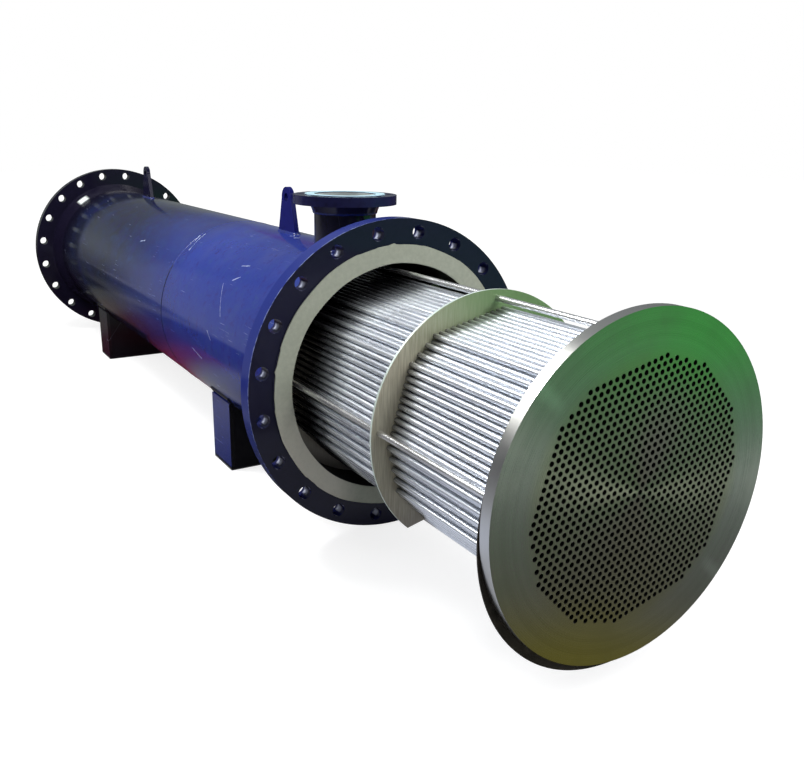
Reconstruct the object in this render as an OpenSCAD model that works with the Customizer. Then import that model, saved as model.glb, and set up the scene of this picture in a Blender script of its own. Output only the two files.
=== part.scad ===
// Shell and tube heat exchanger with its straight-tube bundle partly withdrawn.
// Frame: origin on the floor under the middle of the front saddle, X along the
// shell towards the withdrawn bundle, Z up. Sizes in millimetres.

/* [Shell] */
// outside diameter of the 24 inch shell pipe
shell_od = 609.6; // [605:0.1:614]
// wall of the shell pipe
shell_wall = 9.5; // [9:0.1:11]
// from the front flange face to the rear flange face
shell_length = 2860; // [2800:10:2950]
// from the floor to the shell axis
axis_height = 415; // [405:1:430]
// girth seam, measured back from the front flange face
seam_back = 1039; // [950:1:1150]

/* [Body flanges] */
// outside diameter of each body flange
body_flange_od = 813; // [806:1:825]
// thickness of each body flange
body_flange_thk = 47; // [42:0.5:52]
// bolt circle of each body flange
body_flange_pcd = 749.3; // [745:0.1:753]
// bolts in each body flange
body_flange_bolts = 20; // [16:2:22]
// bolt hole diameter in each body flange
body_flange_hole = 35; // [30:0.5:36]
// diameter of the raised face
raised_face_d = 692; // [686:1:698]
// height of the raised face
raised_face_h = 2; // [1.5:0.1:3]
// diameter of the hub where it meets the flange
hub_d = 663; // [650:1:675]
// from the flange face to the small end of the hub
hub_length = 152; // [140:1:165]

/* [Gaskets] */
// inside diameter of the pale gasket on the front flange face
front_gasket_id = 592; // [591:1:600]
// outside diameter of the pale gasket on the front flange face
front_gasket_od = 688; // [670:1:690]
// thickness of either gasket
gasket_thk = 3; // [2:0.5:4]
// inside diameter of the black gasket that hangs behind the tube sheet
hung_gasket_id = 618; // [610:1:640]
// outside diameter of the black gasket
hung_gasket_od = 672; // [660:1:680]

/* [Nozzles] */
// inlet nozzle, measured back from the front flange face
inlet_back = 283; // [270:1:300]
// outlet nozzle, measured forward from the rear flange face
outlet_forward = 283; // [270:1:300]
// outside diameter of the 6 inch nozzle pipe
nozzle_od = 168.3; // [165:0.1:170]
// wall of the nozzle pipe
nozzle_wall = 7.1; // [6:0.1:9]
// from the shell axis to a nozzle face
nozzle_reach = 448; // [435:1:460]
// outside diameter of a nozzle flange
nozzle_flange_od = 280; // [274:1:286]
// thickness of a nozzle flange
nozzle_flange_thk = 25; // [22:0.5:28]
// bolt circle of a nozzle flange
nozzle_pcd = 241.3; // [238:0.1:245]
// bolts in a nozzle flange
nozzle_bolts = 8; // [6:1:10]
// bolt hole diameter in a nozzle flange
nozzle_hole = 22.4; // [19:0.1:24]
// diameter of a nozzle raised face
nozzle_face_d = 216; // [210:1:217]
// diameter of a nozzle flange hub where it meets the flange
nozzle_hub_d = 192; // [188:1:200]
// length of the tapered hub under a nozzle flange
nozzle_hub_h = 22; // [18:1:28]
// wall of that hub at its small end
nozzle_hub_lip = 3; // [2:0.5:6]

/* [Lifting lugs] */
// length of a lug on the shell
lug_base = 124; // [116:1:132]
// width of the rounded top of a lug
lug_top = 66; // [60:1:72]
// height of a lug above the shell
lug_height = 139; // [130:1:150]
// plate thickness of a lug
lug_thk = 14; // [10:1:20]
// diameter of the lifting eye
lug_eye = 28; // [22:1:36]

/* [Saddles] */
// from a flange face to the middle of its saddle
saddle_inset = 655; // [620:5:700]
// length of a saddle along the shell
saddle_length = 150; // [140:1:170]
// width of a saddle across the shell
saddle_width = 490; // [470:1:510]
// plate thickness of a saddle
saddle_plate = 12; // [8:1:16]

/* [Tube bundle] */
// outside diameter of a tube
tube_od = 12; // [11.5:0.1:12.4]
// wall of a tube
tube_wall = 1; // [0.8:0.1:1.4]
// distance between tube centres
tube_pitch = 15; // [14.8:0.1:15.3]
// tube rows on each side of the middle row
tube_rows = 18; // [17:1:18]
// length of a tube
tube_length = 2880; // [2840:5:2900]
// roll of the bundle about its axis
bundle_roll = 13.3; // [0:0.1:20]
// how far the bundle is drawn out of the shell
bundle_out = 806; // [700:1:850]
// diameter of the front tube sheet
front_sheet_d = 674; // [660:1:680]
// diameter of the floating rear tube sheet
rear_sheet_d = 583; // [575:1:585]
// thickness of either tube sheet
sheet_thk = 25; // [20:1:32]

/* [Baffles] */
// number of baffles
baffle_count = 5; // [4:1:5]
// distance between baffles
baffle_spacing = 504; // [495:1:510]
// from the back of the front tube sheet to the first baffle
first_baffle = 430; // [410:1:440]
// gap between a baffle and the shell bore, on the radius
baffle_gap = 2.4; // [2:0.1:4]
// thickness of a baffle
baffle_thk = 6; // [5:0.5:8]
// tube rows left below the axis in a cut baffle
baffle_rows = 12; // [11:1:13]

/* [Tie rods] */
// diameter of a tie rod
rod_d = 10; // [8:0.5:10.5]
// outside diameter of a spacer sleeve on a tie rod
sleeve_od = 14; // [13:0.5:15]
// radius on which the tie rods stand
rod_radius = 274; // [272:0.5:275]
// angle of the first tie rod
rod_angle = 86.5; // [80:0.5:95]

/* [Hidden] */
shell_r = shell_od / 2;
bore_r = shell_r - shell_wall;
front_face = saddle_inset;
rear_face = front_face - shell_length;
rear_saddle = rear_face + saddle_inset;
inlet_x = front_face - inlet_back;
outlet_x = rear_face + outlet_forward;
nozzle_r = nozzle_od / 2;
lug_eye_up = lug_height - lug_top / 2;
weld_gap = 0.2;
hub_land = 20;
hub_overlap = 20;
neck_setback = 3;
seat_gap = 0.25;
bundle_drop = baffle_gap - seat_gap;
bundle_z = axis_height - bundle_drop;
sheet_back = front_face + gasket_thk + bundle_out;
sheet_front = sheet_back + sheet_thk;
tube_end = sheet_front - tube_length;
row_step = tube_pitch * sqrt(3) / 2;
corner_rows = 2 * tube_rows - 3;
sheet_slack = 0.3;
baffle_slack = 0.5;
sheet_hole = tube_od + sheet_slack;
baffle_hole = tube_od + baffle_slack;
baffle_r = bore_r - baffle_gap;
baffle_cut = (baffle_rows + 0.5) * row_step;
last_baffle = sheet_back - first_baffle - (baffle_count - 1) * baffle_spacing;
rod_slack = 0.6;
nut_slack = 0.3;
rod_hole = rod_d + rod_slack;
rod_nut = 17;
rod_nut_h = 8;
rod_stub = 6;
hung_gap = 4;
hung_sway = 3.3;
hang_reach = hung_gasket_id / 2 - sleeve_od / 2 - seat_gap;
hang_y = rod_radius * cos(rod_angle) - hang_reach * sin(hung_sway);
hang_z = rod_radius * sin(rod_angle) - hang_reach * cos(hung_sway);
$fn = 48;

// turns a profile drawn round Z into one that lies along X from x on
module along_x(x, z = axis_height) {
  translate([x, 0, z]) rotate([90, 0, 90]) children();
}

// is row i, row j of the triangular pattern drilled
function drilled(i, j) =
  max(abs(i), abs(j)) <= tube_rows && abs(i + j) <= tube_rows + 1 &&
  max(abs(i - j), abs(2 * i + j), abs(i + 2 * j)) <= corner_rows;

// is a drilled place on the rim of the pattern
function on_rim(i, j) =
  !(drilled(i + 1, j) && drilled(i - 1, j) && drilled(i, j + 1) &&
  drilled(i, j - 1) && drilled(i + 1, j - 1) && drilled(i - 1, j + 1));

module at_tube(i, j) {
  translate([(i + j / 2) * tube_pitch, j * row_step]) children();
}

// every drilled place from one row to another, on the rim, inside it or both
module tube_places(rim = true, core = true, from = -tube_rows, to = tube_rows) {
  rotate(bundle_roll)
    for (i = [-tube_rows:tube_rows], j = [from:to])
      if (drilled(i, j) && (on_rim(i, j) ? rim : core)) at_tube(i, j) children();
}

module rod_places() {
  for (k = [0:3]) rotate(rod_angle + 90 * k) translate([rod_radius, 0]) children();
}

module ring(outer_d, inner_d) {
  difference() {
    circle(d = outer_d, $fn = 96);
    circle(d = inner_d, $fn = 96);
  }
}

module bolt_ring(outer_d, inner_d, pcd, count, hole_d) {
  difference() {
    circle(d = outer_d, $fn = 96);
    circle(d = inner_d, $fn = 96);
    for (k = [0:count - 1])
      rotate((k + 0.5) * 360 / count) translate([pcd / 2, 0]) circle(d = hole_d);
  }
}

module nozzle_bore(x, turn) {
  translate([x, 0, axis_height]) rotate([turn, 0, 0])
    translate([0, 0, bore_r / 2]) cylinder(r = nozzle_r - nozzle_wall, h = shell_od);
}

module shell_front_course() {
  color([0.14, 0.17, 0.40]) difference() {
    along_x(front_face - seam_back)
      linear_extrude(seam_back - hub_length) ring(shell_od, 2 * bore_r);
    nozzle_bore(inlet_x, 0);
  }
}

module shell_rear_course() {
  color([0.14, 0.17, 0.40]) difference() {
    along_x(rear_face + hub_length)
      linear_extrude(shell_length - seam_back - hub_length) ring(shell_od, 2 * bore_r);
    nozzle_bore(outlet_x, -90);
  }
}

// body flange with its face at z = 0 and its hub below
module body_flange() {
  plate_bottom = raised_face_h + body_flange_thk;
  rotate_extrude($fn = 96)
    polygon([
      [bore_r, 0], [raised_face_d / 2, 0], [raised_face_d / 2, -raised_face_h],
      [hub_d / 2, -raised_face_h], [hub_d / 2, -plate_bottom],
      [shell_r, -hub_length + hub_land], [shell_r, -hub_length], [bore_r, -hub_length]
    ]);
  translate([0, 0, -plate_bottom]) linear_extrude(body_flange_thk)
    bolt_ring(
      body_flange_od, hub_d - 2 * hub_overlap, body_flange_pcd, body_flange_bolts,
      body_flange_hole
    );
}

module front_flange() {
  color([0.09, 0.10, 0.24]) translate([front_face, 0, axis_height])
    rotate([90, 0, 90]) body_flange();
}

module rear_flange() {
  color([0.09, 0.10, 0.24]) translate([rear_face, 0, axis_height])
    rotate([90, 0, -90]) body_flange();
}

module front_gasket() {
  color([0.72, 0.70, 0.62]) along_x(front_face)
    linear_extrude(gasket_thk) ring(front_gasket_od, front_gasket_id);
}

// nozzle pipe standing on the shell, along Z
module nozzle_neck() {
  neck_top = nozzle_reach - neck_setback;
  difference() {
    cylinder(r = nozzle_r, h = neck_top);
    translate([0, 0, -1]) cylinder(r = nozzle_r - nozzle_wall, h = neck_top + 2);
    rotate([0, 90, 0])
      cylinder(r = shell_r + weld_gap, h = 4 * nozzle_r, center = true, $fn = 96);
  }
}

// slip-on nozzle flange along Z, bored over the pipe and faced at the top
module nozzle_flange() {
  plate_top = nozzle_reach - raised_face_h;
  plate_bottom = plate_top - nozzle_flange_thk;
  slip = 2 * nozzle_r + 2 * weld_gap;
  translate([0, 0, plate_bottom - nozzle_hub_h]) rotate_extrude($fn = 96)
    polygon([
      [slip / 2, 0], [slip / 2 + nozzle_hub_lip, 0],
      [nozzle_hub_d / 2, nozzle_hub_h], [slip / 2, nozzle_hub_h]
    ]);
  translate([0, 0, plate_bottom]) linear_extrude(nozzle_flange_thk)
    bolt_ring(nozzle_flange_od, slip, nozzle_pcd, nozzle_bolts, nozzle_hole);
  translate([0, 0, plate_top])
    linear_extrude(raised_face_h) ring(nozzle_face_d, slip);
}

module inlet_neck() {
  color([0.14, 0.17, 0.40]) translate([inlet_x, 0, axis_height]) nozzle_neck();
}

module inlet_flange() {
  color([0.14, 0.17, 0.40]) translate([inlet_x, 0, axis_height]) nozzle_flange();
}

module outlet_neck() {
  color([0.14, 0.17, 0.40]) translate([outlet_x, 0, axis_height])
    rotate([-90, 0, 0]) nozzle_neck();
}

module outlet_flange() {
  color([0.14, 0.17, 0.40]) translate([outlet_x, 0, axis_height])
    rotate([-90, 0, 0]) nozzle_flange();
}

// plate lug with a rounded top, standing in the XZ plane
module lug(x) {
  top_r = lug_top / 2;
  color([0.14, 0.17, 0.40]) translate([x, lug_thk / 2, axis_height + shell_r + weld_gap])
    rotate([90, 0, 0]) linear_extrude(lug_thk) difference() {
      union() {
        polygon([
          [-lug_base / 2, 0], [lug_base / 2, 0],
          [top_r, lug_eye_up], [-top_r, lug_eye_up]
        ]);
        translate([0, lug_eye_up]) circle(r = top_r);
      }
      translate([0, lug_eye_up]) circle(d = lug_eye);
    }
}

module front_lifting_lug() {
  lug(0);
}

module rear_lifting_lug() {
  lug(rear_saddle);
}

module saddle_base(x) {
  color([0.08, 0.09, 0.22])
    translate([x - saddle_length / 2, -saddle_width / 2, 0])
      cube([saddle_length, saddle_width, saddle_plate]);
}

// two cross plates cut to the round of the shell
module saddle_webs(x) {
  inner = saddle_width - 2 * saddle_plate;
  color([0.08, 0.09, 0.22])
    for (from = [x - saddle_length / 2, x + saddle_length / 2 - saddle_plate])
      translate([from, 0, 0]) rotate([90, 0, 90]) linear_extrude(saddle_plate)
        difference() {
          translate([-inner / 2, saddle_plate])
            square([inner, axis_height - saddle_plate]);
          translate([0, axis_height]) circle(r = shell_r + weld_gap, $fn = 96);
        }
}

// the two flat side plates that close the saddle box
module saddle_ends(x) {
  inner_y = saddle_width / 2 - saddle_plate;
  top = axis_height - sqrt(pow(shell_r + weld_gap, 2) - pow(inner_y, 2));
  color([0.08, 0.09, 0.22])
    for (from = [-saddle_width / 2, inner_y])
      translate([x - saddle_length / 2, from, saddle_plate])
        cube([saddle_length, saddle_plate, top - saddle_plate]);
}

module front_saddle_base() {
  saddle_base(0);
}

module front_saddle_webs() {
  saddle_webs(0);
}

module front_saddle_ends() {
  saddle_ends(0);
}

module rear_saddle_base() {
  saddle_base(rear_saddle);
}

module rear_saddle_webs() {
  saddle_webs(rear_saddle);
}

module rear_saddle_ends() {
  saddle_ends(rear_saddle);
}

// plate drilled for every tube
module tube_sheet(outer_d) {
  difference() {
    circle(d = outer_d, $fn = 96);
    tube_places() circle(d = sheet_hole);
  }
}

module front_tube_sheet() {
  color([0.70, 0.69, 0.64]) along_x(sheet_back, bundle_z)
    linear_extrude(sheet_thk) tube_sheet(front_sheet_d);
}

module rear_tube_sheet() {
  color([0.70, 0.69, 0.64]) along_x(tube_end, bundle_z)
    linear_extrude(sheet_thk) tube_sheet(rear_sheet_d);
}

module tubes() {
  color([0.78, 0.78, 0.76]) along_x(tube_end, bundle_z)
    linear_extrude(tube_length) children();
}

module tube_section() {
  difference() {
    circle(d = tube_od);
    circle(d = tube_od - 2 * tube_wall);
  }
}

module outer_tubes() {
  tubes() tube_places(core = false) tube_section();
}

module upper_tubes() {
  tubes() tube_places(rim = false, from = 1) tube_section();
}

module lower_tubes() {
  tubes() tube_places(rim = false, to = 0) tube_section();
}

// segmental baffle k, cut away below on odd ones and above on even ones
module baffle(k) {
  turn = bundle_roll + (k % 2 == 1 ? 0 : 180);
  if (k <= baffle_count)
    color([0.62, 0.58, 0.50])
      along_x(sheet_back - first_baffle - (k - 1) * baffle_spacing - baffle_thk, bundle_z)
        linear_extrude(baffle_thk) difference() {
          circle(r = baffle_r, $fn = 96);
          rotate(turn) translate([-bore_r, -bore_r - baffle_cut])
            square([2 * bore_r, bore_r]);
          tube_places() circle(d = baffle_hole);
          rod_places() circle(d = rod_hole);
        }
}

module baffle_1() {
  baffle(1);
}

module baffle_2() {
  baffle(2);
}

module baffle_3() {
  baffle(3);
}

module baffle_4() {
  baffle(4);
}

module baffle_5() {
  baffle(5);
}

module tie_rods() {
  from = last_baffle - baffle_thk - rod_nut_h - rod_stub;
  color([0.66, 0.65, 0.60]) along_x(from, bundle_z)
    linear_extrude(sheet_back - from) rod_places() circle(d = rod_d);
}

// a sleeve on each rod between neighbouring plates
module spacer_sleeves() {
  color([0.70, 0.69, 0.64])
    for (k = [0:baffle_count - 1]) {
      gap_from = sheet_back - first_baffle - k * baffle_spacing;
      gap_to = k == 0 ? sheet_back : gap_from + baffle_spacing - baffle_thk;
      along_x(gap_from, bundle_z) linear_extrude(gap_to - gap_from)
        rod_places() difference() {
          circle(d = sleeve_od);
          circle(d = rod_hole);
        }
    }
}

module tie_rod_nuts() {
  color([0.60, 0.59, 0.56])
    along_x(last_baffle - baffle_thk - rod_nut_h, bundle_z)
      linear_extrude(rod_nut_h) rod_places() difference() {
        circle(d = rod_nut, $fn = 6);
        circle(d = rod_d + nut_slack);
      }
}

// black gasket that hangs on the top spacer sleeve behind the tube sheet, swung a little aside
module hung_gasket() {
  color([0.05, 0.05, 0.05])
    translate([0, hang_y, hang_z])
      along_x(sheet_back - gasket_thk - hung_gap, bundle_z)
        linear_extrude(gasket_thk) ring(hung_gasket_od, hung_gasket_id);
}

shell_front_course();
shell_rear_course();
front_flange();
rear_flange();
front_gasket();
inlet_neck();
inlet_flange();
outlet_neck();
outlet_flange();
front_lifting_lug();
rear_lifting_lug();
front_saddle_base();
front_saddle_webs();
front_saddle_ends();
rear_saddle_base();
rear_saddle_webs();
rear_saddle_ends();
front_tube_sheet();
rear_tube_sheet();
outer_tubes();
upper_tubes();
lower_tubes();
baffle_1();
baffle_2();
baffle_3();
baffle_4();
baffle_5();
tie_rods();
spacer_sleeves();
tie_rod_nuts();
hung_gasket();
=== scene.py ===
"""Looks of a shell and tube heat exchanger whose tube bundle is partly drawn out."""
import math

import bpy
import numpy as np
from mathutils import Matrix, Vector


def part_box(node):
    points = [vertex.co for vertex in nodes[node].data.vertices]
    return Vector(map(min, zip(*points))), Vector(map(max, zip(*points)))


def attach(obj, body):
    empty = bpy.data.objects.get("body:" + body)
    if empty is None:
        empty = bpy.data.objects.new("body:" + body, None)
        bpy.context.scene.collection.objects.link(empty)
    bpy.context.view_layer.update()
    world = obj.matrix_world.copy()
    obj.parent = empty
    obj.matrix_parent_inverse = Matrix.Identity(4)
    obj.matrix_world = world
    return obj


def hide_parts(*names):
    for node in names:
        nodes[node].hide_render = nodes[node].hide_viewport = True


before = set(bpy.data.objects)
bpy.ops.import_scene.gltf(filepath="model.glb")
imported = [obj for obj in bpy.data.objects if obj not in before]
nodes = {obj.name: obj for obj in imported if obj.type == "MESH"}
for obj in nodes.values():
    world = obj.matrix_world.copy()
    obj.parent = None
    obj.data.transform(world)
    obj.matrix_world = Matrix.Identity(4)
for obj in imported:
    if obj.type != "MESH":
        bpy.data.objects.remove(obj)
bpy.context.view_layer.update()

# sizes in metres, read from the CAD nodes
flange_low, flange_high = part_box("front_flange")
rear_flange_low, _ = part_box("rear_flange")
course_low, course_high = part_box("shell_front_course")
rear_low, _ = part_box("shell_rear_course")
sheet_low, sheet_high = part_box("front_tube_sheet")
rear_sheet_low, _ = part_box("rear_tube_sheet")
gasket_low, gasket_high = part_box("front_gasket")
inlet_low, inlet_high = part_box("inlet_flange")
outlet_low, outlet_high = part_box("outlet_flange")
neck_low, neck_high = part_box("inlet_neck")
lug_low, lug_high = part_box("front_lifting_lug")
rear_lug_low, rear_lug_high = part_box("rear_lifting_lug")
base_low, base_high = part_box("front_saddle_base")
rear_base_low, rear_base_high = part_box("rear_saddle_base")
baffle_boxes = [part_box(f"baffle_{number}") for number in range(1, 6)]
FACE_X = flange_high.x
REAR_X = rear_flange_low.x
AXIS_Z = (flange_low.z + flange_high.z) / 2
SHELL_R = (course_high.y - course_low.y) / 2
BUNDLE_Z = (sheet_low.z + sheet_high.z) / 2
TUBE_FROM, TUBE_TO = rear_sheet_low.x, sheet_high.x
TUBE_R, TUBE_BORE_R = 0.006, 0.005
TUBE_PITCH, TUBE_ROWS, BUNDLE_ROLL = 0.015, 18, math.radians(13.3)
INLET_X = (inlet_low.x + inlet_high.x) / 2
OUTLET_X = (outlet_low.x + outlet_high.x) / 2
NECK_R = (neck_high.x - neck_low.x) / 2
BOLT_RING = 0.37465
PHOTO_W = 804
SENSOR_W = 36
INNER_TUBES = ("upper_tubes", "lower_tubes")

# how far a raised face stands proud, and how far inside its wall a pipe counts as bore
FACE_STEP, BORE_STEP = 0.0012, 0.004

# paint of the shell, flanges and fittings, and painted shade for the saddles
BLUE, BLUE_DEEP = (0.020, 0.040, 0.270), (0.015, 0.028, 0.200)
NAVY, NAVY_DEEP = (0.010, 0.008, 0.022), (0.005, 0.004, 0.013)
NECK_BLUE, FLANGE_BLUE = (0.009, 0.009, 0.030), (0.016, 0.017, 0.072)
SHADE, SHADE_DEEP = (0.010, 0.010, 0.014), (0.006, 0.006, 0.009)

# wear and dirt on the paint, with painted shade, highlights and sheen among them
REAR_FILM_AND_SHADE = (0.013, 0.016, 0.023)
FADED_BLUE = (0.045, 0.062, 0.240)
TEAL, PLUM = (0.024, 0.062, 0.200), (0.022, 0.010, 0.120)
DUST = (0.20, 0.21, 0.23)
SCRATCH = (0.40, 0.46, 0.62)
EDGE_HIGHLIGHT = (0.30, 0.36, 0.60)
SHADED_RUST_DARK, SHADED_RUST_LIGHT = (0.010, 0.009, 0.010), (0.026, 0.021, 0.020)
PIPE_DARK, PIPE_LIGHT = (0.34, 0.37, 0.36), (0.50, 0.54, 0.53)
HOLE_WALL, HOLE_HIGHLIGHT = (0.012, 0.014, 0.075), (0.70, 0.74, 0.92)
HOLE_HIGHLIGHT_WAY = (0, -0.873, 0.489)
HUB_HIGHLIGHT = (0.90, 0.97, 0.94)
FACED_SHEEN_DARK, FACED_SHEEN_LIGHT = (0.56, 0.86, 1.00), (0.66, 0.93, 1.00)

# stains on the bundle, with painted shade, reflections and highlights
HEAT_STAIN_AND_SHADE, TUBE_SHADE = (0.10, 0.08, 0.055), (0.020, 0.020, 0.022)
HOLE_FIELD_REFLECTION, FLARE_HIGHLIGHT = (0.54, 0.53, 0.40), (0.92, 0.96, 0.92)
BAFFLE_LOW_DARK = (0.12, 0.10, 0.105)

# scuffs on the shell: from and to (along the axis, round the girth), half width
SCUFFS = (
    ((-0.340, -0.232), (-0.366, -0.150), 0.0034),
    ((-0.372, -0.190), (-0.385, -0.162), 0.0024),
    ((0.113, -0.220), (0.158, -0.211), 0.0026),
    ((0.126, -0.272), (0.160, -0.254), 0.0028),
    ((-0.850, -0.266), (-0.810, -0.258), 0.0030),
    ((0.081, -0.290), (0.156, -0.382), 0.0014),
    ((-0.076, -0.525), (-0.001, -0.542), 0.0030),
    ((0.074, -0.439), (0.106, -0.461), 0.0020),
    ((0.118, -0.036), (0.134, -0.028), 0.0050),
    ((0.074, -0.030), (0.086, -0.024), 0.0045),
)


# camera, fitted to the photograph from the middle of the front flange face

def add_camera():
    focal_px = 850.3
    from_face = Vector((1.7982, -1.1053, 0.6047))
    right = Vector((0.52485, 0.85104, 0.01627)).normalized()
    forward = Vector((-0.81512, 0.50801, -0.27839)).normalized()
    up = right.cross(forward).normalized()
    data = bpy.data.cameras.new("camera")
    data.sensor_width = SENSOR_W
    data.lens = SENSOR_W * focal_px / PHOTO_W
    data.clip_end = 60
    camera = bpy.data.objects.new("camera", data)
    bpy.context.scene.collection.objects.link(camera)
    turn = Matrix((right, up, -forward)).transposed().to_4x4()
    camera.matrix_world = Matrix.Translation(Vector((FACE_X, 0, AXIS_Z)) + from_face) @ turn
    bpy.context.scene.camera = camera


# small helpers for node materials

class Shader:
    """A material with a Principled shader and short ways to add nodes to it."""

    def __init__(self, name):
        self.material = bpy.data.materials.new(name)
        self.material.use_nodes = True
        self.tree = self.material.node_tree
        self.tree.nodes.clear()
        self.output = self.tree.nodes.new("ShaderNodeOutputMaterial")
        self.surface = self.tree.nodes.new("ShaderNodeBsdfPrincipled")
        self.join(self.surface.outputs[0], self.output.inputs[0])
        self.place = self.tree.nodes.new("ShaderNodeTexCoord").outputs["Object"]

    def join(self, source, target):
        self.tree.links.new(source, target)

    def put(self, target, value):
        if isinstance(value, bpy.types.NodeSocket):
            self.join(value, target)
        elif isinstance(value, tuple) and len(value) == 3 and target.type == "RGBA":
            target.default_value = (*value, 1)
        else:
            target.default_value = value

    def set(self, **values):
        for name, value in values.items():
            self.put(self.surface.inputs[name.replace("_", " ")], value)

    def math(self, operation, a, b=0.0, clamp=False):
        node = self.tree.nodes.new("ShaderNodeMath")
        node.operation = operation
        node.use_clamp = clamp
        self.put(node.inputs[0], a)
        self.put(node.inputs[1], b)
        return node.outputs[0]

    def split(self, vector):
        node = self.tree.nodes.new("ShaderNodeSeparateXYZ")
        self.put(node.inputs[0], vector)
        return node.outputs

    def merge(self, x, y, z=0.0):
        node = self.tree.nodes.new("ShaderNodeCombineXYZ")
        for target, value in zip(node.inputs, (x, y, z)):
            self.put(target, value)
        return node.outputs[0]

    def moved(self, vector, shift=(0, 0, 0), turn=(0, 0, 0), scale=(1, 1, 1)):
        node = self.tree.nodes.new("ShaderNodeMapping")
        self.put(node.inputs["Vector"], vector)
        node.inputs["Location"].default_value = shift
        node.inputs["Rotation"].default_value = turn
        node.inputs["Scale"].default_value = scale
        return node.outputs[0]

    def noise(self, vector, scale, detail=3.0, rough=0.55, warp=0.0):
        node = self.tree.nodes.new("ShaderNodeTexNoise")
        self.put(node.inputs["Vector"], vector)
        node.inputs["Scale"].default_value = scale
        node.inputs["Detail"].default_value = detail
        node.inputs["Roughness"].default_value = rough
        node.inputs["Distortion"].default_value = warp
        return node.outputs[0]

    def ramp(self, value, low, high, to_low=0.0, to_high=1.0):
        node = self.tree.nodes.new("ShaderNodeMapRange")
        node.interpolation_type = "SMOOTHSTEP"
        self.put(node.inputs["Value"], value)
        for name, number in (
            ("From Min", low), ("From Max", high), ("To Min", to_low), ("To Max", to_high)
        ):
            node.inputs[name].default_value = number
        return node.outputs[0]

    def mix(self, share, a, b):
        node = self.tree.nodes.new("ShaderNodeMix")
        node.data_type = "RGBA"
        self.put(node.inputs["Factor"], share)
        self.put(node.inputs["A"], a)
        self.put(node.inputs["B"], b)
        return node.outputs["Result"]

    def bump(self, height, strength, distance):
        node = self.tree.nodes.new("ShaderNodeBump")
        node.inputs["Strength"].default_value = strength
        node.inputs["Distance"].default_value = distance
        self.put(node.inputs["Height"], height)
        return node.outputs[0]

    def normal(self):
        return self.tree.nodes.new("ShaderNodeNewGeometry").outputs["Normal"]

    def distance(self, first, first_at, second, second_at):
        """Distance from a line that crosses two of the axes 0, 1, 2 at the given places."""
        place = self.split(self.place)
        a = self.math("SUBTRACT", place[first], first_at)
        b = self.math("SUBTRACT", place[second], second_at)
        square = self.math("ADD", self.math("MULTIPLY", a, a), self.math("MULTIPLY", b, b))
        return self.math("SQRT", square)

    def radius(self, axis_z=None):
        """Distance from the shell axis, or from a line beside it at another height."""
        return self.distance(1, 0.0, 2, AXIS_Z if axis_z is None else axis_z)

    def vector(self, operation, a, b=None, scale=None):
        node = self.tree.nodes.new("ShaderNodeVectorMath")
        node.operation = operation
        self.put(node.inputs[0], a)
        if b is not None:
            self.put(node.inputs[1], b)
        if scale is not None:
            self.put(node.inputs["Scale"], scale)
        return node.outputs["Value" if operation in ("DOT_PRODUCT", "LENGTH") else "Vector"]

    def stroke(self, flat, start, stop, width, wander):
        """Share of a scuff drawn from start to stop on the flat shell."""
        along = Vector((stop[0] - start[0], stop[1] - start[1], 0))
        off = self.vector("SUBTRACT", flat, (*start, 0))
        part = self.vector("DOT_PRODUCT", off, tuple(along / along.length_squared))
        part = self.math("MAXIMUM", self.math("MINIMUM", part, 1.0), 0.0)
        near = self.vector("SCALE", tuple(along), scale=part)
        gap = self.vector("LENGTH", self.vector("SUBTRACT", off, near))
        frayed = self.math("MULTIPLY", self.math("SUBTRACT", wander, 0.5), 2.4 * width)
        gap = self.math("SUBTRACT", gap, frayed)
        return self.ramp(gap, 0.1 * width, width, 0.75, 0.0)

    def unrolled(self):
        """Place on the shell laid flat: along the axis, then round the girth from the top."""
        x, y, z = self.split(self.place)
        angle = self.math("ARCTAN2", y, self.math("SUBTRACT", z, AXIS_Z))
        return self.merge(x, self.math("MULTIPLY", angle, SHELL_R))


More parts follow.
